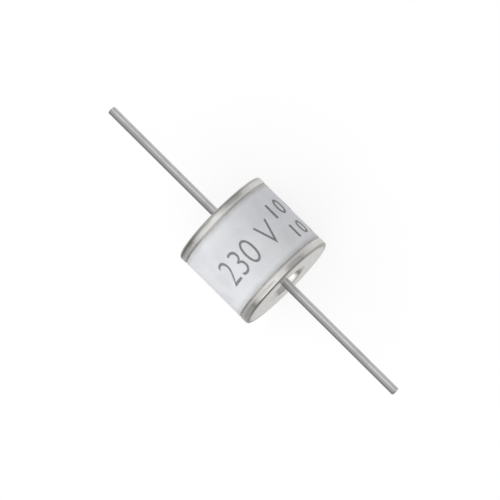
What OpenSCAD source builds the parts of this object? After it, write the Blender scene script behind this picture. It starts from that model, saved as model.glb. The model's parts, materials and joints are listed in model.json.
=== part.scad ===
// Gas discharge tube: a two-electrode surge arrester with axial leads.
// Millimetres, +Z up. The origin is the centre of the tube and the leads lie along X.
// Every piece is turned about the lead axis, and the left end mirrors the right one.

/* [Ceramic tube] */
// Outside diameter of the ceramic tube
ceramic_od = 8; // [6:0.1:12]
// Wall of the ceramic tube
ceramic_wall = 1.1; // [0.8:0.05:1.5]
// Length of the ceramic tube
ceramic_len = 5.4; // [4.5:0.1:9]
// Rounding of the end edges of the ceramic tube
ceramic_edge = 0.05; // [0.04:0.01:0.2]

/* [Braze rings] */
// Thickness of the braze between the ceramic and a flange
braze_t = 0.12; // [0.06:0.01:0.3]
// Depth of the hollow round the outside of a braze ring
braze_hollow = 0.02; // [0.01:0.01:0.05]

/* [Electrodes] */
// Thickness of the flange that closes the tube
flange_t = 0.63; // [0.4:0.01:0.9]
// How far the flange stands out past the ceramic
flange_lip = 0.02; // [0:0.01:0.1]
// Rounding of the outer edge of the flange
rim_edge = 0.2; // [0.04:0.01:0.3]
// Rounding of the flange's edge at the seam
seam_edge = 0.04; // [0.03:0.01:0.1]
// Diameter of the recess in the outer face, round the lead, where its wall meets its chamfer
recess_d = 3.6; // [2:0.1:5]
// Depth of the recess
recess_t = 0.45; // [0.1:0.05:0.6]
// Slope of the wall of the recess, in degrees, opening outwards
recess_draft = 18; // [5:1:35]
// Chamfer at the mouth of the recess
recess_edge = 0.05; // [0.02:0.01:0.08]
// Space between the electrode's stub and the ceramic bore
stub_clear = 0.7; // [0.4:0.05:1]
// Rounding of the stub's end that faces the other electrode
nose_edge = 0.3; // [0.1:0.05:0.4]
// Rounding where the stub leaves the flange
root_edge = 0.2; // [0.05:0.05:0.3]
// Spark gap between the two electrodes
spark_gap = 0.9; // [0.5:0.05:1.5]

/* [Emission coatings] */
// Depth of the pocket for the coating in the end of the stub
pocket_t = 0.15; // [0.08:0.01:0.25]
// How far the coating lies below the end of the stub
coating_set = 0.04; // [0:0.01:0.06]
// Bare metal left between the pocket and the rounded edge
pocket_rim = 0.2; // [0.1:0.05:0.5]

/* [Ignition strips] */
// Number of graphite strips on the bore, drawn from the two ends in turn
strip_count = 4; // [2:2:8]
// Width of a strip
strip_w = 0.45; // [0.2:0.05:0.8]
// Thickness of a strip
strip_t = 0.04; // [0.02:0.01:0.08]
// Bare bore left beyond the end of a strip
strip_stop = 1.4; // [0.8:0.1:2]

/* [Leads] */
// Diameter of the lead wire
lead_d = 0.64; // [0.5:0.01:1]
// Length of a lead past its flange
lead_len = 11; // [5:0.5:40]
// Chamfer at the cut end of a lead
lead_chamfer = 0.06; // [0.02:0.01:0.15]
// Diameter of the foot where the lead is welded to the electrode
foot_d = 1; // [0.8:0.05:1.6]
// Thickness of the edge of the foot
foot_t = 0.05; // [0.03:0.01:0.12]

/* [Hidden] */
$fn = 96;
// How far a cutter runs past the face that it cuts
over = 0.05;
// Where a turned piece starts and ends, up from the underside that the tube lies on
seam_turn = 20;
ceramic_r = ceramic_od / 2;
bore_r = ceramic_r - ceramic_wall;
// The braze covers the flat of the ceramic's end face
braze_out_r = ceramic_r - ceramic_edge;
braze_in_r = bore_r + ceramic_edge;
// Radius of the hollow that passes through both edges of the ring
hollow_r = (pow(braze_t / 2, 2) + pow(braze_hollow, 2)) / (2 * braze_hollow);
flange_r = ceramic_r + flange_lip;
recess_r = recess_d / 2;
recess_floor_r = recess_r - (recess_t - recess_edge) * tan(recess_draft);
recess_mouth_r = recess_r + recess_edge;
stub_r = bore_r - stub_clear;
pocket_r = stub_r - nose_edge - pocket_rim;
// Stations along the lead axis, from the centre of the tube outwards
nose_x = spark_gap / 2;
ceramic_x = ceramic_len / 2;
flange_x = ceramic_x + braze_t;
face_x = flange_x + flange_t;
floor_x = face_x - recess_t;
tip_x = face_x + lead_len;
lead_r = lead_d / 2;
foot_r = foot_d / 2;
foot_fillet = foot_r - lead_r;
strip_len = ceramic_len - 2 * ceramic_edge - strip_stop;
strip_angle = strip_w / bore_r * 180 / PI;

// The sliver between a square corner at the origin and a rounding of radius r.
// Taken away, it rounds an edge; added, it fills an inside corner.
module sliver(r) {
    difference() {
        translate([-over, -over]) square(r + over);
        translate([r, r]) circle(r);
    }
}

// Turns an outline about the lead axis, with its height running outwards along X.
module turned() {
    rotate([0, 90, 0]) rotate(seam_turn) rotate_extrude() children();
}

// Mirrors a piece of the right end to the left one.
module to_left() {
    mirror([1, 0, 0]) children();
}

module ceramic_tube() {
    color([0.92, 0.92, 0.93]) turned() difference() {
        translate([bore_r, -ceramic_x]) square([ceramic_wall, ceramic_len]);
        for (end = [0, 1]) mirror([0, end]) {
            translate([ceramic_r, ceramic_x]) rotate(180) sliver(ceramic_edge);
            translate([bore_r, ceramic_x]) rotate(270) sliver(ceramic_edge);
        }
    }
}

module braze_ring() {
    color([0.62, 0.61, 0.58]) turned() difference() {
        translate([braze_in_r, ceramic_x]) square([braze_out_r - braze_in_r, braze_t]);
        translate([braze_out_r + hollow_r - braze_hollow, ceramic_x + braze_t / 2]) circle(hollow_r);
    }
}

// The flange and the stub are one piece, with a shallow recess in its outer face.
module electrode() {
    color([0.76, 0.74, 0.7]) turned() difference() {
        union() {
            translate([0, flange_x]) square([flange_r, flange_t]);
            translate([0, nose_x]) square([stub_r, flange_x - nose_x + over]);
            translate([stub_r, flange_x]) rotate(270) sliver(root_edge);
        }
        polygon([[-over, floor_x], [recess_floor_r, floor_x], [recess_r, face_x - recess_edge],
            [recess_mouth_r, face_x], [recess_mouth_r, face_x + over], [-over, face_x + over]]);
        translate([flange_r, face_x]) rotate(180) sliver(rim_edge);
        translate([flange_r, flange_x]) rotate(90) sliver(seam_edge);
        translate([stub_r, nose_x]) rotate(90) sliver(nose_edge);
        translate([-over, nose_x - over]) square([pocket_r + over, pocket_t + over]);
    }
}

module emission_coating() {
    color([0.55, 0.52, 0.46]) turned()
        translate([0, nose_x + coating_set]) square([pocket_r, pocket_t - coating_set]);
}

module ignition_strips() {
    color([0.2, 0.2, 0.22]) for (i = [0 : strip_count - 1])
        rotate([360 * i / strip_count, 0, 0]) mirror([i % 2, 0, 0])
            rotate([0, 90, 0]) rotate_extrude(angle = strip_angle)
                translate([bore_r - strip_t, ceramic_x - ceramic_edge - strip_len])
                    square([strip_t, strip_len]);
}

// The wire stands on the floor of the recess, spread to a small foot by the weld.
module lead() {
    color([0.7, 0.7, 0.69]) turned() difference() {
        union() {
            translate([0, floor_x]) square([lead_r, tip_x - floor_x]);
            translate([0, floor_x]) square([foot_r, foot_t]);
            translate([lead_r, floor_x + foot_t]) sliver(foot_fillet);
        }
        translate([lead_r, tip_x]) polygon([
            [-lead_chamfer - over, over], [over, -lead_chamfer - over], [over, over]]);
    }
}

module left_electrode() { to_left() electrode(); }
module right_electrode() { electrode(); }
module left_braze_ring() { to_left() braze_ring(); }
module right_braze_ring() { braze_ring(); }
module left_emission_coating() { to_left() emission_coating(); }
module right_emission_coating() { emission_coating(); }
module left_lead() { to_left() lead(); }
module right_lead() { lead(); }

ceramic_tube();
left_electrode();
right_electrode();
left_braze_ring();
right_braze_ring();
left_emission_coating();
right_emission_coating();
ignition_strips();
left_lead();
right_lead();
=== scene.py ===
"""Gas discharge tube: a ceramic tube with brazed metal ends and two wire leads, lying on a pale floor."""

import json
import math

import bmesh
import bpy
from bpy.props import FloatProperty, FloatVectorProperty, PointerProperty, StringProperty
from mathutils import Matrix, Vector, noise


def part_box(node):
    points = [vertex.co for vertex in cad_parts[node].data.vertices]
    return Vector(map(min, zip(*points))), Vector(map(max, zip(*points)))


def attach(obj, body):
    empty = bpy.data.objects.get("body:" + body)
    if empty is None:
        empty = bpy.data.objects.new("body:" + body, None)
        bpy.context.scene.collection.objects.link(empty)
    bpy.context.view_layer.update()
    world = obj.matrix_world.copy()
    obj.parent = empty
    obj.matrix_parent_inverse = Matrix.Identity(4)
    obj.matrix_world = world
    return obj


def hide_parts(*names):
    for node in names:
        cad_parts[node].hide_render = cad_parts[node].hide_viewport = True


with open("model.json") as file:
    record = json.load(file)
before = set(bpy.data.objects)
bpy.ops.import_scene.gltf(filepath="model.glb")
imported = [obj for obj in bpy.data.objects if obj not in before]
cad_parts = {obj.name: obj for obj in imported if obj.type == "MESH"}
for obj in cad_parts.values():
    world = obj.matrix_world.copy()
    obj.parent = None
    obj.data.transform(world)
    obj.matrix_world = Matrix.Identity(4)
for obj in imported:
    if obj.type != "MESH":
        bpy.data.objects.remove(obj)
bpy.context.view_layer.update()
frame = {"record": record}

bl_info = {
    "name": "Gas discharge tube",
    "version": (1, 0, 0),
    "blender": (4, 5, 0),
    "location": "3D View > Sidebar > Gas tube",
    "description": "Builds a ceramic gas discharge tube with axial leads and its studio stage",
    "category": "Object",
}

# Metres in a millimetre: meshes are shaped in millimetres and brought to metres at the end.
MM = 0.001
TURN = 2.0 * math.pi
# Steps round a turned piece, and in the rounding of one corner of its outline.
TURN_STEPS = 160
CORNER_STEPS = 8
# Points this near to each other are merged. The finer distance is for slivers and for flat letters.
MERGED = 1e-5
MERGED_FINE = 1e-6
# A point within this of an edge, in millimetres, counts as lying on it.
ON_EDGE = 0.001
# Faces that meet at a larger angle than this, in degrees, show a sharp edge.
SHARP_DEG = 32.0
ENDS = (("left", -1.0), ("right", 1.0))
WHITE = (1.0, 1.0, 1.0, 1.0)
# The kinds of ray that the stage tells apart.
RAYS = ("Is Camera Ray", "Is Glossy Ray", "Is Transmission Ray")


def far_side(node):
    """The largest coordinate of a node along the leads."""
    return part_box(node)[1][0]


def near_side(node):
    """The smallest coordinate of a node along the leads."""
    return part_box(node)[0][0]


def wire_radius():
    """The radius of the lead wire, as the right lead's mount gives it."""
    for mount in frame["record"]["mounts"]:
        if mount["name"] == "right_lead_pin":
            return mount["dims"]["r_mm"] * MM
    raise RuntimeError("the record has no right lead mount")


def length(name, description, default):
    """A size in metres that the panel shows."""
    return FloatProperty(name=name, description=description, default=default, min=0.0,
                         unit="LENGTH", precision=5)


def colour(name, description, default):
    """A colour that the panel shows."""
    return FloatVectorProperty(name=name, description=description, default=default, min=0.0, max=1.0,
                               size=3, subtype="COLOR")


class GasTubeSizes(bpy.types.PropertyGroup):
    """Sizes of the tube's pieces, in the frame of the solids."""

    ceramic_radius: length("Ceramic radius", "Outside radius of the ceramic tube", 0.004)
    ceramic_wall: length("Ceramic wall", "Wall of the ceramic tube", 0.0011)
    ceramic_half: length("Ceramic half length", "Half the length of the ceramic tube",
                         far_side("ceramic_tube"))
    ceramic_edge: length("Ceramic edge", "Rounding of the end edges of the ceramic tube", 0.00005)
    braze_end: length("Braze end", "Where the braze ring meets the flange", far_side("right_braze_ring"))
    braze_hollow: length("Braze hollow", "Depth of the hollow round a braze ring", 0.00002)
    braze_ripple: length("Braze ripple", "How far the braze surface wanders", 0.00001)
    flange_radius: length("Flange radius", "Radius of the electrode flange",
                          frame["record"]["size"]["bbox_m"][1] / 2)
    flange_face: length("Flange face", "Outer face of the flange, from the centre",
                        far_side("right_electrode"))
    rim_edge: length("Rim edge", "Rounding of the outer edge of the flange", 0.0002)
    # The dark line round the rim is a painted dark reflection.
    dark_line_inset: length("Dark line inset", "The dull line round the rim, in from the outer face", 0.00009)
    dark_line_width: length("Dark line width", "Half the width of the dull line", 0.00015)
    # A paler, rougher band round the rim's inner part, beside the seam.
    pale_band_width: length("Pale band width", "How far the braze ran over the rim, from the seam", 0.00026)
    seam_edge: length("Seam edge", "Rounding of the flange at the seam", 0.00004)
    recess_radius: length("Recess radius", "Radius of the recess where its wall meets its chamfer", 0.0018)
    recess_floor: length("Recess floor", "Floor of the recess, from the centre", near_side("right_lead"))
    recess_draft: FloatProperty(name="Recess draft", description="Slope of the wall of the recess",
                                default=math.radians(18.0), min=0.0, subtype="ANGLE")
    recess_edge: length("Recess edge", "Chamfer at the mouth of the recess", 0.00005)
    recess_soft: length("Recess softening", "Rounding of the corners of the recess", 0.00003)
    stub_radius: length("Stub radius", "Radius of the electrode's stub inside the tube", 0.0022)
    stub_nose: length("Stub nose", "Inner end of the stub, from the centre", near_side("right_electrode"))
    nose_edge: length("Nose edge", "Rounding of the inner end of the stub", 0.0003)
    root_edge: length("Root edge", "Rounding where the stub leaves the flange", 0.0002)
    pocket_radius: length("Pocket radius", "Radius of the pocket for the coating", 0.0017)
    pocket_floor: length("Pocket floor", "Floor of the coating pocket, from the centre",
                         far_side("right_emission_coating"))
    wire_radius: length("Wire radius", "Radius of the lead wire", wire_radius())
    wire_tip: length("Wire tip", "Cut end of the lead, from the centre", far_side("right_lead"))
    wire_chamfer: length("Wire chamfer", "Chamfer of the cut end", 0.00006)
    foot_radius: length("Foot radius", "Radius of the welded foot of the lead", 0.0005)
    foot_edge: length("Foot edge", "Thickness of the edge of the foot", 0.00005)
    weld_ripple: length("Weld ripple", "How far the weld at the foot wanders", 0.00003)
    ink_depth: length("Ink depth", "How far the ink stands out of the ceramic", 0.000006)


class GasTubeLooks(bpy.types.PropertyGroup):
    """Colours of the tube's finishes and of the floor, and the words printed on the tube."""

    ceramic: colour("Ceramic", "Fired alumina", (0.82, 0.825, 0.865))
    ceramic_warm: colour("Warm ceramic", "Alumina where it fired a little warmer", (0.835, 0.845, 0.85))
    ceramic_shade: colour("Ceramic shade", "Alumina where the firing left it greyer", (0.70, 0.705, 0.745))
    # Partly painted shade: the alumina greys beside the metal ends, partly as shade at the seams and partly
    # as stain.
    ceramic_seam_shade_and_stain: colour("Ceramic seam shade and stain", "Grey bloom on the alumina beside the metal", (0.50, 0.505, 0.495))
    ceramic_speck: colour("Ceramic speck", "Small specks in the alumina", (0.50, 0.50, 0.50))
    nickel: colour("Nickel", "Plated electrode metal", (0.76, 0.75, 0.725))
    # Painted light: the recess, which lies in shade, is coloured lighter than the rest of the nickel.
    nickel_painted_recess_light: colour("Nickel painted recess light", "Recess that the punch left bright", (0.87, 0.86, 0.84))
    nickel_stain: colour("Nickel stain", "Plating dulled by heat", (0.52, 0.50, 0.46))
    # Painted dark reflection: a dark line round the rim near its face, darkest in front.
    nickel_painted_dark_line: colour("Nickel painted dark line", "Dull line that the stamping left on the rim", (0.33, 0.32, 0.30))
    # A paler, rougher band round the rim's inner part, beside the seam.
    nickel_pale_band: colour("Nickel pale band", "Rim where the braze ran over it", (0.90, 0.89, 0.87))
    braze: colour("Braze", "Silver braze in the seam", (0.62, 0.62, 0.605))
    braze_oxide: colour("Braze oxide", "Braze where it oxidised", (0.40, 0.40, 0.39))
    tin: colour("Tin", "Tinned surface of the leads", (0.45, 0.45, 0.45))
    # Painted light: the next two colours paint the wire's lit side lighter and a highlight line along its
    # top.
    tin_painted_lit_side: colour("Painted lit tin", "Tin on the side where it ran thick", (0.71, 0.71, 0.71))
    tin_painted_highlight: colour("Painted tin highlight", "Bright line where the thick tin begins", (0.97, 0.97, 0.97))
    tin_dull: colour("Dull tin", "Tin where the wire was drawn or handled", (0.42, 0.42, 0.42))
    ink: colour("Ink", "Printed rating", (0.19, 0.195, 0.21))
    ink_thin: colour("Thin ink", "Ink where the white shows through", (0.58, 0.585, 0.60))
    coating: colour("Emission coating", "Fired activating paste", (0.42, 0.39, 0.33))
    coating_pale: colour("Pale coating", "Crumbs of the paste that fired paler", (0.62, 0.59, 0.52))
    graphite: colour("Graphite", "Ignition strips on the bore", (0.035, 0.035, 0.038))
    graphite_rubbed: colour("Rubbed graphite", "Graphite rubbed to a shine", (0.13, 0.13, 0.135))
    floor: colour("Floor", "Pale studio floor", (0.86, 0.86, 0.86))
    floor_fibre: colour("Floor fibre", "Darker fibres in the floor", (0.76, 0.76, 0.76))
    voltage: StringProperty(name="Voltage", description="Voltage printed on the ceramic", default="230 V")
    surge: StringProperty(name="Surge", description="Surge current printed on the ceramic", default="10 kA")
    current: StringProperty(name="Current", description="Lasting current printed on the ceramic",
                            default="10 A")


def panel_values(context):
    """The sizes and the looks that the panel shows."""
    return context.scene.gas_tube_sizes, context.scene.gas_tube_looks


def in_mm(sizes, *names):
    """The named sizes in millimetres."""
    return [getattr(sizes, name) / MM for name in names]


class Sock:
    """A socket in a node tree: sums of sockets add Math nodes, and node() adds any other node."""

    def __init__(self, tree, socket=None):
        self.tree = tree
        self.socket = socket

    def node(self, kind, settings=None, sockets=None, out=0):
        """Adds a node, makes its settings, then sets or links its sockets, and gives one output."""
        made = self.tree.nodes.new(kind)
        for name, value in (settings or {}).items():
            setattr(made, name, value)
        for name, value in (sockets or {}).items():
            if isinstance(value, Sock):
                self.tree.links.new(value.socket, made.inputs[name])
            else:
                made.inputs[name].default_value = value
        return Sock(self.tree, made.outputs[out] if made.outputs else None)

    def maths(self, operation, first, second=0.0):
        """Adds a Math node."""
        return self.node("ShaderNodeMath", {"operation": operation}, {0: first, 1: second})

    def __add__(self, other):
        return self.maths("ADD", self, other)

    def __sub__(self, other):
        return self.maths("SUBTRACT", self, other)

    def __rsub__(self, other):
        return self.maths("SUBTRACT", other, self)

    def __mul__(self, other):
        return self.maths("MULTIPLY", self, other)

    def __pow__(self, other):
        return self.maths("POWER", self, other)

    def __abs__(self):
        return self.maths("ABSOLUTE", self)

    __radd__ = __add__
    __rmul__ = __mul__

    def smooth(self, low, high):
        """A smooth step of this value, from 0 at low to 1 at high."""
        return self.node("ShaderNodeMapRange", {"interpolation_type": "SMOOTHSTEP"},
                         {"Value": self, "From Min": low, "From Max": high})

    def blend(self, first, second):
        """A colour that goes from first to second as this value goes from 0 to 1."""
        return self.node("ShaderNodeMix", {"data_type": "RGBA"}, {0: self, 6: first, 7: second}, out=2)


def opaque(shade):
    """A property's colour with full alpha, as a colour socket takes it."""
    return (shade[0], shade[1], shade[2], 1.0)


def new_material(name):
    """An empty node material, and a bare Sock that adds nodes to it."""
    material = bpy.data.materials.new(name)
    material.use_nodes = True
    material.node_tree.nodes.clear()
    return material, Sock(material.node_tree)


def finish_material(sock, sockets):
    """Closes a material with the Principled shader."""
    shader = sock.node("ShaderNodeBsdfPrincipled", sockets=sockets)
    sock.node("ShaderNodeOutputMaterial", sockets={"Surface": shader})


def place_in_mm(sock):
    """Object coordinates in millimetres."""
    place = sock.node("ShaderNodeTexCoord", out="Object")
    return sock.node("ShaderNodeMapping", sockets={"Vector": place, "Scale": (1 / MM,) * 3})


def split(sock, place):
    """The three coordinates of a place."""
    first = sock.node("ShaderNodeSeparateXYZ", sockets={0: place})
    return [Sock(sock.tree, output) for output in first.socket.node.outputs]


def join(sock, x, y, z):
    """A vector from three values."""
    return sock.node("ShaderNodeCombineXYZ", sockets={0: x, 1: y, 2: z})


def grain(sock, place, lumps, detail=3.0, rough=0.55):
    """Noise from 0 to 1 with so many lumps in each unit of the place."""
    return sock.node("ShaderNodeTexNoise",
                     sockets={"Vector": place, "Scale": lumps, "Detail": detail, "Roughness": rough})


def bump(sock, height, depth, under=None):
    """A bump of so many millimetres for a height from 0 to 1, over another bump if one is given."""
    sockets = {"Height": height, "Distance": depth * MM, "Strength": 1.0}
    if under:
        sockets["Normal"] = under
    return sock.node("ShaderNodeBump", sockets=sockets)


# In the materials, places and widths are in millimetres, smooth() takes the two levels between which an
# effect sets in, and a number that multiplies an effect is its share in a colour or a roughness.


def ceramic_material(sizes, looks):
    """Satin white alumina: cooler and warmer patches, fine grit, and a grey darkening beside the metal,
    partly painted shade at the seams and partly stain.
    """
    material, sock = new_material("fired_alumina")
    place = place_in_mm(sock)
    x, y, z = split(sock, place)
    half = sizes.ceramic_half / MM
    # The tint is read from another part of the noise than the patches.
    aside = 7.0
    tint = grain(sock, join(sock, x + aside, y, z), lumps=0.42).smooth(0.42, 0.62)
    patches = grain(sock, place, lumps=0.55, detail=4.0).smooth(0.40, 0.68)
    grit = grain(sock, place, lumps=9.0, detail=4.0, rough=0.65)
    specks = grain(sock, place, lumps=3.1, detail=2.0).smooth(0.71, 0.76)
    # Partly painted shade: the alumina is greyed towards both metal ends, partly as shade at the seams and
    # partly as stain, with a ragged edge.
    ragged = abs(x) + grain(sock, place, lumps=1.6) * 0.34
    bloom = ragged.smooth(half - 0.30, half + 0.25)
    base = tint.blend(opaque(looks.ceramic), opaque(looks.ceramic_warm))
    base = (patches * 0.55 + grit * 0.12).blend(base, opaque(looks.ceramic_shade))
    base = (bloom * 0.75).blend(base, opaque(looks.ceramic_seam_shade_and_stain))
    base = (specks * 0.18).blend(base, opaque(looks.ceramic_speck))
    fine = bump(sock, grit, depth=0.003)
    wavy = bump(sock, grain(sock, place, lumps=0.9, detail=2.0), depth=0.008, under=fine)
    finish_material(sock, {"Base Color": base, "Roughness": 0.36 + grit * 0.18, "Normal": wavy,
                           "IOR": 1.62, "Specular IOR Level": 0.42})
    return material


def nickel_material(sizes, looks):
    """Bright plating on a stamped part: lines round it, stains, a recess coloured lighter as painted light,
    and a rim with a paler band by the seam and a painted dark reflection line near its face.
    """
    material, sock = new_material("nickel_plate")
    place = place_in_mm(sock)
    x, y, z = split(sock, place)
    away = (y * y + z * z) ** 0.5
    rim, face, seat, recess = in_mm(sizes, "flange_radius", "flange_face", "braze_end", "recess_radius")
    dark_line_inset, dark_line_wide, pale_band_wide = in_mm(sizes, "dark_line_inset", "dark_line_width", "pale_band_width")
    lines = grain(sock, join(sock, away * 16.0, x * 16.0, y * 0.7), lumps=1.0, rough=0.6)
    bands = grain(sock, join(sock, away * 4.5, x * 6.0, y * 0.35), lumps=1.0, detail=2.0)
    waves = grain(sock, place, lumps=0.85, detail=2.0)
    stains = grain(sock, place, lumps=1.5, detail=5.0, rough=0.6).smooth(0.50, 0.78)
    weld_reach, weld_fade = 0.85, 0.4
    by_weld = (weld_reach - away).smooth(0.0, weld_fade) * grain(sock, place, lumps=3.0)
    scuffed = grain(sock, join(sock, x * 3.0, y * 0.9, z * 5.0), lumps=1.6, detail=5.0, rough=0.7)
    scuffs = scuffed.smooth(0.60, 0.72)
    along = abs(x) + (waves - 0.5) * 0.12
    on_rim = away.smooth(rim - 0.36, rim - 0.22)
    # The dark line of each rim is a painted dark reflection, painted darkest in front, and the lines of both
    # rims lie towards the right, more so in front. The right one is broader and darker. Each is given for a
    # millimetre of X.
    rightward, slant, broader, darker = 0.030, 0.0035, 0.06, 0.035
    # Painted dark reflection: a dark line round each rim near its face, darker in front, made uneven by
    # stains and bands.
    darker_in_front = (y * -1.0).smooth(-0.1 * rim, 0.6 * rim)
    from_line = abs(along + x * (y * slant - rightward) - (face - dark_line_inset)) * (1.0 - x * broader)
    painted_dark_line = (1.0 - from_line.smooth(dark_line_wide * 0.3, dark_line_wide)) * on_rim
    painted_dark_line = painted_dark_line * (0.46 + x * darker + darker_in_front * 0.40 + stains * 0.2 + bands * 0.2)
    # A paler, rougher band round the rim's inner part, from the seam outwards.
    pale_band = (1.0 - along.smooth(seat + pale_band_wide * 0.5, seat + pale_band_wide)) * on_rim
    # Painted light: within the recess's radius the nickel is coloured lighter, to brighten the shaded recess.
    base = away.smooth(recess - 0.15, recess).blend(opaque(looks.nickel_painted_recess_light), opaque(looks.nickel))
    stained = stains * 0.30 + by_weld * 0.30 + bands.smooth(0.50, 0.72) * 0.45
    base = stained.blend(base, opaque(looks.nickel_stain))
    base = (pale_band * 0.8).blend(base, opaque(looks.nickel_pale_band))
    base = painted_dark_line.blend(base, opaque(looks.nickel_painted_dark_line))
    rough = 0.16 + lines * 0.10 + bands * 0.08 + stains * 0.10 + scuffs * 0.10 + painted_dark_line * 0.10 + pale_band * 0.25
    fine = bump(sock, lines, depth=0.0010)
    ringed = bump(sock, bands, depth=0.0050, under=fine)
    wavy = bump(sock, waves, depth=0.010, under=ringed)
    finish_material(sock, {"Base Color": base, "Metallic": 1.0, "Roughness": rough, "Normal": wavy})
    return material


def braze_material(looks):
    """Dull silver braze, uneven where it set."""
    material, sock = new_material("silver_braze")
    place = place_in_mm(sock)
    lumpy = grain(sock, place, lumps=3.5, detail=4.0, rough=0.6)
    oxide = grain(sock, place, lumps=1.3, detail=4.0).smooth(0.42, 0.70)
    base = (oxide * 0.6).blend(opaque(looks.braze), opaque(looks.braze_oxide))
    finish_material(sock, {"Base Color": base, "Metallic": 1.0, "Roughness": 0.42 + lumpy * 0.22,
                           "Normal": bump(sock, lumpy, depth=0.012)})
    return material


def tin_material(sizes, looks):
    """Tinned wire: streaks along it, a painted lit side with a painted highlight along its top, dull patches
    and small nicks.
    """
    material, sock = new_material("tinned_wire")
    place = place_in_mm(sock)
    x, y, z = split(sock, place)
    wire = sizes.wire_radius / MM
    streaks = grain(sock, join(sock, x * 0.22, y * 9.0, z * 9.0), lumps=1.0, detail=4.0, rough=0.6)
    dull = grain(sock, join(sock, x * 0.8, y * 1.5, z * 1.5), lumps=1.0, detail=4.0).smooth(0.42, 0.72)
    nicks = grain(sock, place, lumps=5.0, detail=2.0).smooth(0.70, 0.76)
    across = y + (streaks - 0.5) * (wire * 0.25)
    # Painted light: the +Y side of the wire is painted lighter as a lit side, and a painted highlight runs
    # along its top from the middle towards +Y.
    thick = across.smooth(-0.06 * wire, 0.16 * wire)
    bright = thick * (1.0 - across.smooth(0.36 * wire, 0.60 * wire)) * z.smooth(0.0, 0.3 * wire)
    base = thick.blend(opaque(looks.tin), opaque(looks.tin_painted_lit_side))
    base = bright.blend(base, opaque(looks.tin_painted_highlight))
    base = (dull * 0.25 + nicks * 0.25).blend(base, opaque(looks.tin_dull))
    rough = 0.36 + streaks * 0.12 + dull * 0.08
    fine = bump(sock, streaks, depth=0.0022)
    finish_material(sock, {"Base Color": base, "Metallic": 1.0, "Roughness": rough,
                           "Normal": bump(sock, nicks, depth=0.003, under=fine)})
    return material


def ink_material(looks):
    """Grey stamped ink, thin in places so that the white shows through."""
    material, sock = new_material("stamped_ink")
    place = place_in_mm(sock)
    thin = grain(sock, place, lumps=5.5, detail=4.0, rough=0.65).smooth(0.44, 0.72)
    cloud = grain(sock, place, lumps=1.1, detail=2.0)
    base = (thin * 0.34 + cloud * 0.16).blend(opaque(looks.ink), opaque(looks.ink_thin))
    finish_material(sock, {"Base Color": base, "Roughness": 0.50 + thin * 0.15,
                           "Normal": bump(sock, thin, depth=0.002)})
    return material


def coating_material(looks):
    """Grainy fired paste."""
    material, sock = new_material("emission_paste")
    crumbs = grain(sock, place_in_mm(sock), lumps=7.0, detail=5.0, rough=0.7)
    base = crumbs.smooth(0.35, 0.70).blend(opaque(looks.coating), opaque(looks.coating_pale))
    finish_material(sock, {"Base Color": base, "Roughness": 0.78 + crumbs * 0.15,
                           "Normal": bump(sock, crumbs, depth=0.02)})
    return material


def graphite_material(looks):
    """Graphite rubbed on along the bore."""
    material, sock = new_material("graphite_strip")
    x, y, z = split(sock, place_in_mm(sock))
    rubbed = grain(sock, join(sock, x * 1.2, y * 12.0, z * 12.0), lumps=1.0, detail=4.0, rough=0.65)
    base = rubbed.smooth(0.45, 0.80).blend(opaque(looks.graphite), opaque(looks.graphite_rubbed))
    finish_material(sock, {"Base Color": base, "Roughness": 0.42 + rubbed * 0.25,
                           "Normal": bump(sock, rubbed, depth=0.006)})
    return material


def outline(corners, closed):
    """A bmesh with an outline in millimetres: corners are along the leads, out from them, and a rounding."""
    mesh = bmesh.new()
    points = [mesh.verts.new((along, 0.0, out)) for along, out, rounding in corners]
    for pair in zip(points, points[1:]):
        mesh.edges.new(pair)
    if closed:
        mesh.edges.new((points[-1], points[0]))
    for point, (along, out, rounding) in zip(points, corners):
        if rounding > 0.0:
            bmesh.ops.bevel(mesh, geom=[point], offset=rounding, offset_type="OFFSET", affect="VERTICES",
                            segments=CORNER_STEPS, profile=0.5, material=-1)
    return mesh


def add_rings(mesh, longest):
    """Divides the outline's straight edges into pieces no longer than given, in millimetres."""
    for edge in list(mesh.edges):
        cuts = int(edge.calc_length() / longest)
        if cuts:
            bmesh.ops.subdivide_edges(mesh, edges=[edge], cuts=cuts)


def turn(mesh):
    """Turns an outline about the lead axis into a closed skin."""
    bmesh.ops.spin(mesh, geom=mesh.verts[:] + mesh.edges[:], cent=(0.0, 0.0, 0.0), axis=(1.0, 0.0, 0.0),
                   angle=TURN, steps=TURN_STEPS, use_merge=True)
    bmesh.ops.remove_doubles(mesh, verts=mesh.verts[:], dist=MERGED)
    bmesh.ops.dissolve_degenerate(mesh, edges=mesh.edges[:], dist=MERGED_FINE)
    bmesh.ops.recalc_face_normals(mesh, faces=mesh.faces[:])


def from_axis(point):
    """How far a point of a mesh lies from the lead axis."""
    return math.hypot(point.co.y, point.co.z)


def wander(point, furthest, lumps, start):
    """Moves a point out from the lead axis or in towards it, by noise of at most so many millimetres."""
    # The noise is read from a start of its own at each end, so that the two ends differ.
    push = noise.noise(point.co * lumps + Vector((start, 0.0, 0.0)))
    shift = 1.0 + furthest * push / from_axis(point)
    point.co.y *= shift
    point.co.z *= shift


def place_piece(name, mesh, material, replaced=None, side=1.0):
    """Makes the piece's object in metres, on the side it belongs to, and ties it to the body."""
    if side < 0.0:
        bmesh.ops.scale(mesh, vec=(-1.0, 1.0, 1.0), verts=mesh.verts[:])
        bmesh.ops.recalc_face_normals(mesh, faces=mesh.faces[:])
    bmesh.ops.scale(mesh, vec=(MM, MM, MM), verts=mesh.verts[:])
    data = bpy.data.meshes.new(name)
    for face in mesh.faces:
        face.smooth = True
    mesh.to_mesh(data)
    mesh.free()
    data.set_sharp_from_angle(angle=math.radians(SHARP_DEG))
    data.materials.append(material)
    piece = bpy.data.objects.new(name, data)
    bpy.context.scene.collection.objects.link(piece)
    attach(piece, "root")
    if replaced:
        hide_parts(replaced)


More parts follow.
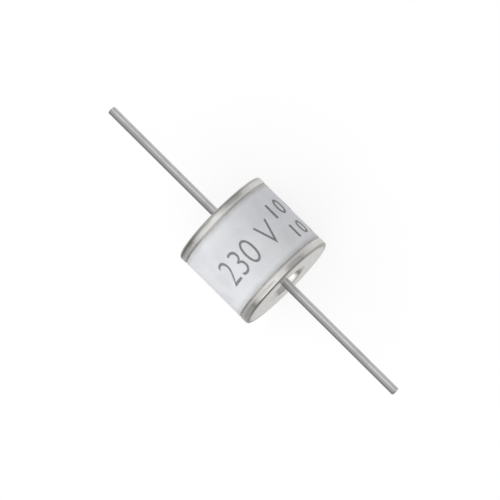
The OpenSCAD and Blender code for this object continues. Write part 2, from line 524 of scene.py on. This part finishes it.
class GASTUBE_OT_ceramic(bpy.types.Operator):
    """Turn the ceramic tube"""

    bl_idname = "gastube.ceramic"
    bl_label = "Ceramic tube"

    # Longest step along the outline, in millimetres.
    ring_step = 0.3

    def execute(self, context):
        sizes, looks = panel_values(context)
        radius, wall, half, edge = in_mm(
            sizes, "ceramic_radius", "ceramic_wall", "ceramic_half", "ceramic_edge")
        bore = radius - wall
        mesh = outline([
            (-half, radius, edge), (half, radius, edge),
            (half, bore, edge), (-half, bore, edge)], closed=True)
        add_rings(mesh, self.ring_step)
        turn(mesh)
        place_piece("tube_ceramic", mesh, ceramic_material(sizes, looks), "ceramic_tube")
        return {"FINISHED"}


class GASTUBE_OT_electrodes(bpy.types.Operator):
    """Turn the two electrodes, each a flange and a stub in one piece"""

    bl_idname = "gastube.electrodes"
    bl_label = "Electrodes"

    # Longest step along the outline, in millimetres.
    ring_step = 0.25

    def execute(self, context):
        sizes, looks = panel_values(context)
        rim, face, seat, rim_edge, seam = in_mm(
            sizes, "flange_radius", "flange_face", "braze_end", "rim_edge", "seam_edge")
        recess, floor, mouth, soft = in_mm(
            sizes, "recess_radius", "recess_floor", "recess_edge", "recess_soft")
        foot = recess - (face - mouth - floor) * math.tan(sizes.recess_draft)
        stub, nose, nose_edge, root = in_mm(sizes, "stub_radius", "stub_nose", "nose_edge", "root_edge")
        pocket, pocket_floor = in_mm(sizes, "pocket_radius", "pocket_floor")
        material = nickel_material(sizes, looks)
        for name, side in ENDS:
            mesh = outline([
                (floor, 0.0, 0.0), (floor, foot, soft), (face - mouth, recess, soft),
                (face, recess + mouth, soft), (face, rim, rim_edge), (seat, rim, seam), (seat, stub, root),
                (nose, stub, nose_edge), (nose, pocket, 0.0), (pocket_floor, pocket, 0.0),
                (pocket_floor, 0.0, 0.0)], closed=False)
            add_rings(mesh, self.ring_step)
            turn(mesh)
            place_piece("electrode_" + name, mesh, material, name + "_electrode", side)
        return {"FINISHED"}


class GASTUBE_OT_braze(bpy.types.Operator):
    """Turn the two braze rings and let their hollow surface wander a little"""

    bl_idname = "gastube.braze"
    bl_label = "Braze rings"

    # Longest step along the outline, in millimetres.
    ring_step = 0.2
    # How far the bottom of the hollow is rounded, as a share of the seam's width.
    hollow_round = 0.4
    # Lumps of the wandering surface in a millimetre, and where each end starts to read them.
    ripple_lumps = 1.7
    ripple_start = 9.0

    def execute(self, context):
        sizes, looks = panel_values(context)
        radius, wall, edge, inner, outer = in_mm(
            sizes, "ceramic_radius", "ceramic_wall", "ceramic_edge", "ceramic_half", "braze_end")
        hollow, ripple = in_mm(sizes, "braze_hollow", "braze_ripple")
        skin = radius - edge
        bore = radius - wall + edge
        middle = (inner + outer) / 2.0
        material = braze_material(looks)
        for name, side in ENDS:
            mesh = outline([
                (inner, bore, 0.0), (inner, skin, 0.0),
                (middle, skin - hollow, (outer - inner) * self.hollow_round),
                (outer, skin, 0.0), (outer, bore, 0.0)], closed=True)
            add_rings(mesh, self.ring_step)
            turn(mesh)
            for point in mesh.verts:
                in_seam = inner + ON_EDGE < point.co.x < outer - ON_EDGE
                if in_seam and from_axis(point) > skin - hollow - ON_EDGE:
                    lift = 1.0 - abs(point.co.x - middle) / (outer - middle)
                    wander(point, ripple * lift, self.ripple_lumps, side * self.ripple_start)
            place_piece("braze_" + name, mesh, material, name + "_braze_ring", side)
        return {"FINISHED"}


class GASTUBE_OT_leads(bpy.types.Operator):
    """Turn the two lead wires with their welded feet and cut ends"""

    bl_idname = "gastube.leads"
    bl_label = "Leads"

    # Longest step along the outline, in millimetres.
    ring_step = 0.5
    # How much of the foot's width its fillet takes.
    fillet_share = 0.98
    # Lumps of the wandering weld in a millimetre, and where each end starts to read them.
    ripple_lumps = 2.6
    ripple_start = 5.0

    def execute(self, context):
        sizes, looks = panel_values(context)
        wire, tip, chamfer = in_mm(sizes, "wire_radius", "wire_tip", "wire_chamfer")
        floor, foot, foot_edge, ripple = in_mm(
            sizes, "recess_floor", "foot_radius", "foot_edge", "weld_ripple")
        fillet = foot - wire
        material = tin_material(sizes, looks)
        for name, side in ENDS:
            mesh = outline([
                (floor, 0.0, 0.0), (floor, foot, 0.0), (floor + foot_edge, foot, 0.0),
                (floor + foot_edge, wire, fillet * self.fillet_share), (tip - chamfer, wire, 0.0),
                (tip, wire - chamfer, 0.0), (tip, 0.0, 0.0)], closed=False)
            add_rings(mesh, self.ring_step)
            turn(mesh)
            for point in mesh.verts:
                past_wire = from_axis(point) - wire
                if past_wire > ON_EDGE and point.co.x > floor + ON_EDGE:
                    wander(point, ripple * past_wire / fillet, self.ripple_lumps, side * self.ripple_start)
            place_piece("lead_" + name, mesh, material, name + "_lead", side)
        return {"FINISHED"}


class GASTUBE_OT_rating(bpy.types.Operator):
    """Print the ratings round the ceramic"""

    bl_idname = "gastube.rating"
    bl_label = "Rating print"

    # Each print: its property, height, length round the tube, middle along the leads, where it starts
    # round the tube, in degrees from the top towards the back, how far its strokes are made heavier, as
    # a share of the type's size, and how wide its letters are spaced. Sizes are in millimetres.
    prints = (
        ("voltage", 1.99, 5.30, 0.36, -42.3, -0.012, 1.0),
        ("surge", 1.32, 5.00, -0.68, 44.6, 0.010, 1.2),
        ("current", 1.20, 3.65, 1.44, 49.4, 0.010, 1.2),
    )
    # Longest step of a print round the tube, in millimetres.
    bend_step = 0.1

    def execute(self, context):
        sizes, looks = panel_values(context)
        radius, ink = in_mm(sizes, "ceramic_radius", "ink_depth")
        material = ink_material(looks)
        for name, tall, wide, along, start, heavier, spacing in self.prints:
            mesh = self.flat_words(context, getattr(looks, name), heavier, spacing)
            self.fit_words(mesh, wide, tall)
            thickened = bmesh.ops.extrude_face_region(mesh, geom=mesh.faces[:])["geom"]
            raised = [part for part in thickened if isinstance(part, bmesh.types.BMVert)]
            bmesh.ops.translate(mesh, vec=(0.0, 0.0, ink), verts=raised)
            bmesh.ops.recalc_face_normals(mesh, faces=mesh.faces[:])
            for point in mesh.verts:
                angle = math.radians(start) + point.co.x / radius
                out = radius + point.co.z
                point.co = Vector((along - point.co.y, out * math.sin(angle), out * math.cos(angle)))
            place_piece("print_" + name, mesh, material)
        return {"FINISHED"}

    def flat_words(self, context, text, heavier, spacing):
        """The words as a flat mesh."""
        words = bpy.data.curves.new("words", "FONT")
        words.body = text
        words.offset = heavier
        words.space_character = spacing
        holder = bpy.data.objects.new("words", words)
        context.scene.collection.objects.link(holder)
        flat = bpy.data.meshes.new_from_object(holder.evaluated_get(context.evaluated_depsgraph_get()))
        bpy.data.objects.remove(holder)
        bpy.data.curves.remove(words)
        mesh = bmesh.new()
        mesh.from_mesh(flat)
        bpy.data.meshes.remove(flat)
        bmesh.ops.remove_doubles(mesh, verts=mesh.verts[:], dist=MERGED_FINE)
        return mesh

    def fit_words(self, mesh, wide, tall):
        """Brings flat words to their length and height, and cuts them so that they can bend."""
        low = Vector(min(point.co[axis] for point in mesh.verts) for axis in range(3))
        high = Vector(max(point.co[axis] for point in mesh.verts) for axis in range(3))
        fit = (wide / (high.x - low.x), tall / (high.y - low.y), 1.0)
        bmesh.ops.translate(mesh, vec=(-low.x, -(low.y + high.y) / 2.0, 0.0), verts=mesh.verts[:])
        bmesh.ops.scale(mesh, vec=fit, verts=mesh.verts[:])
        steps = int(wide / self.bend_step)
        for step in range(1, steps):
            bmesh.ops.bisect_plane(mesh, geom=mesh.verts[:] + mesh.edges[:] + mesh.faces[:], dist=MERGED,
                                   plane_co=(wide * step / steps, 0.0, 0.0), plane_no=(1.0, 0.0, 0.0))


class GASTUBE_OT_inner_pieces(bpy.types.Operator):
    """Give the coatings and the ignition strips inside the tube their finish"""

    bl_idname = "gastube.inner_pieces"
    bl_label = "Inner pieces"

    def execute(self, context):
        looks = context.scene.gas_tube_looks
        paste = coating_material(looks)
        finishes = {
            "left_emission_coating": paste,
            "right_emission_coating": paste,
            "ignition_strips": graphite_material(looks),
        }
        for node, material in finishes.items():
            solid = bpy.data.objects[node]
            solid.data.materials.clear()
            solid.data.materials.append(material)
        return {"FINISHED"}


class GASTUBE_OT_stage(bpy.types.Operator):
    """Set up the floor, the lamps, the surroundings and the camera"""

    bl_idname = "gastube.stage"
    bl_label = "Stage"

    # The camera looks down on the tube, a little from the right end, with the leads across the picture.
    tilt_deg = 7.1
    lead_slope_deg = 44.8
    focal_mm = 800.0
    sensor_mm = 36.0
    # How far the camera is from the tube's centre, and how near to it things start to show, in metres.
    distance = 0.795
    clip_start = 0.01
    # Where the tube's centre lies from the picture's centre: to the right and up, in metres.
    offset = (0.000221, -0.000029)
    # Lamps: name, where from, aimed at the tube's centre, distance, width along the leads, height, radiance,
    # and whether metal mirrors it.
    lamps = (
        ("key_lamp", (-0.05, -0.67, 0.74), 0.25, 0.80, 0.37, 0.37, True),
        ("fill_lamp", (-0.10, -0.86, 0.50), 0.30, 0.60, 0.30, 0.42, False),
        ("top_lamp", (0.05, 0.05, 0.99), 0.30, 0.36, 0.18, 0.42, True),
        ("end_lamp", (0.45, -0.54, 0.71), 0.30, 0.14, 0.26, 0.60, True),
        ("back_lamp", (0.00, 0.98, 0.17), 0.20, 0.30, 0.07, 0.48, True),
    )
    # How bright the room is for the object, and where metal mirrors it at the horizon and overhead.
    room = 0.48
    horizon = 0.16
    overhead = 0.46
    # How high a mirrored direction points where the room turns from the horizon to overhead.
    room_turn = (0.05, 0.60)
    # Half the width of the floor, in metres, lumps of its fibres in a metre, and how much they show.
    floor_half = 1.5
    fibre_lumps = 700.0
    fibre_share = 0.03
    # How bright the floor itself looks to the camera, and to metal in front of the tube and behind it.
    camera_shine = 0.77
    mirror_shine = (0.22, 0.615)
    # Where the floor turns from the front shine to the back one, in metres.
    shine_turn = (-0.010, -0.001)
    # How much of the floor's lit surface, with the tube's shadow, the camera and metal see on top of that.
    camera_share = 0.34
    mirror_share = 0.25

    def execute(self, context):
        scene = context.scene
        self.make_floor(scene)
        self.make_surroundings(scene)
        for lamp in self.lamps:
            self.make_lamp(scene, *lamp)
        self.make_camera(scene)
        scene.view_settings.view_transform = "Standard"
        return {"FINISHED"}

    def make_floor(self, scene):
        """A pale floor under the tube."""
        mesh = bmesh.new()
        bmesh.ops.create_grid(mesh, x_segments=1, y_segments=1, size=self.floor_half)
        bmesh.ops.translate(mesh, vec=(0.0, 0.0, -scene.gas_tube_sizes.flange_radius), verts=mesh.verts[:])
        data = bpy.data.meshes.new("floor")
        mesh.to_mesh(data)
        mesh.free()
        data.materials.append(self.floor_material(scene.gas_tube_looks))
        floor = bpy.data.objects.new("floor", data)
        scene.collection.objects.link(floor)

    def floor_material(self, looks):
        """Pale paper that the camera sees as white, apart from the tube's shadow."""
        material, sock = new_material("pale_floor")
        place = sock.node("ShaderNodeTexCoord", out="Object")
        fibres = grain(sock, place, lumps=self.fibre_lumps)
        shade = (fibres * self.fibre_share).blend(opaque(looks.floor), opaque(looks.floor_fibre))
        paper = sock.node("ShaderNodeBsdfDiffuse", sockets={"Color": shade})
        camera, glossy, through = (sock.node("ShaderNodeLightPath", out=name) for name in RAYS)
        front, back = self.mirror_shine
        behind = sock.node("ShaderNodeSeparateXYZ", sockets={0: place}, out="Y").smooth(*self.shine_turn)
        shine = (camera + through) * self.camera_shine + glossy * (front + behind * (back - front))
        white = sock.node("ShaderNodeEmission", sockets={"Color": WHITE, "Strength": shine})
        hidden = (camera + through) * (1.0 - self.camera_share) + glossy * (1.0 - self.mirror_share)
        lit = sock.node("ShaderNodeMixShader", sockets={0: hidden, 1: paper})
        surface = sock.node("ShaderNodeAddShader", sockets={0: lit, 1: white})
        sock.node("ShaderNodeOutputMaterial", sockets={"Surface": surface})
        return material

    def make_surroundings(self, scene):
        """An even grey room that the camera sees as white, and that metal sees darker at the horizon."""
        world = bpy.data.worlds.new("studio")
        world.use_nodes = True
        world.node_tree.nodes.clear()
        sock = Sock(world.node_tree)
        camera, glossy, through = (sock.node("ShaderNodeLightPath", out=name) for name in RAYS)
        direction = sock.node("ShaderNodeTexCoord", out="Generated")
        height = sock.node("ShaderNodeSeparateXYZ", sockets={0: direction}, out="Z").smooth(*self.room_turn)
        mirrored = self.horizon + height * (self.overhead - self.horizon)
        level = self.room + (camera + through) * (1.0 - self.room) + glossy * (mirrored - self.room)
        sky = sock.node("ShaderNodeBackground", sockets={"Color": WHITE, "Strength": level})
        sock.node("ShaderNodeOutputWorld", sockets={"Surface": sky})
        scene.world = world

    def make_lamp(self, scene, name, direction, distance, width, height, radiance, mirrored):
        """A soft rectangular lamp turned to the tube."""
        data = bpy.data.lights.new(name, "AREA")
        data.shape = "RECTANGLE"
        data.size = width
        data.size_y = height
        data.energy = radiance * math.pi * width * height
        lamp = bpy.data.objects.new(name, data)
        away = Vector(direction).normalized()
        wide = (Vector((1.0, 0.0, 0.0)) - away * away.x).normalized()
        turned = Matrix((wide, away.cross(wide), away)).transposed()
        lamp.matrix_world = Matrix.Translation(away * distance) @ turned.to_4x4()
        lamp.visible_camera = False
        lamp.visible_glossy = mirrored
        scene.collection.objects.link(lamp)

    def make_camera(self, scene):
        """A long lens above the tube, rolled so that the leads run from the upper left to the lower right."""
        data = bpy.data.cameras.new("camera")
        data.lens = self.focal_mm
        data.sensor_width = self.sensor_mm
        data.clip_start = self.clip_start
        tilt = math.radians(self.tilt_deg)
        slope = math.radians(self.lead_slope_deg)
        back = Vector((math.sin(tilt), 0.0, math.cos(tilt)))
        leads = Vector((math.cos(tilt), 0.0, -math.sin(tilt)))
        across = Vector((0.0, 1.0, 0.0))
        right = leads * math.cos(slope) + across * math.sin(slope)
        up = across * math.cos(slope) - leads * math.sin(slope)
        spot = back * self.distance - right * self.offset[0] - up * self.offset[1]
        turned = Matrix((right, up, back)).transposed()
        camera = bpy.data.objects.new("camera", data)
        camera.matrix_world = Matrix.Translation(spot) @ turned.to_4x4()
        scene.collection.objects.link(camera)
        scene.camera = camera


class GASTUBE_PT_panel(bpy.types.Panel):
    """Sizes, finishes and steps of the gas discharge tube"""

    bl_idname = "GASTUBE_PT_panel"
    bl_label = "Gas discharge tube"
    bl_space_type = "VIEW_3D"
    bl_region_type = "UI"
    bl_category = "Gas tube"

    def draw(self, context):
        for step in STEPS:
            self.layout.operator(step.bl_idname)
        for group in panel_values(context):
            box = self.layout.box()
            for name in group.__annotations__:
                box.prop(group, name)


STEPS = (GASTUBE_OT_ceramic, GASTUBE_OT_electrodes, GASTUBE_OT_braze, GASTUBE_OT_leads, GASTUBE_OT_rating,
         GASTUBE_OT_inner_pieces, GASTUBE_OT_stage)
CLASSES = (GasTubeSizes, GasTubeLooks) + STEPS + (GASTUBE_PT_panel,)


def register():
    for made in CLASSES:
        bpy.utils.register_class(made)
    bpy.types.Scene.gas_tube_sizes = PointerProperty(type=GasTubeSizes)
    bpy.types.Scene.gas_tube_looks = PointerProperty(type=GasTubeLooks)


def unregister():
    del bpy.types.Scene.gas_tube_looks
    del bpy.types.Scene.gas_tube_sizes
    for made in reversed(CLASSES):
        bpy.utils.unregister_class(made)


def main():
    register()
    bpy.ops.gastube.ceramic()
    bpy.ops.gastube.electrodes()
    bpy.ops.gastube.braze()
    bpy.ops.gastube.leads()
    bpy.ops.gastube.rating()
    bpy.ops.gastube.inner_pieces()
    bpy.ops.gastube.stage()


if __name__ == "__main__":
    main()
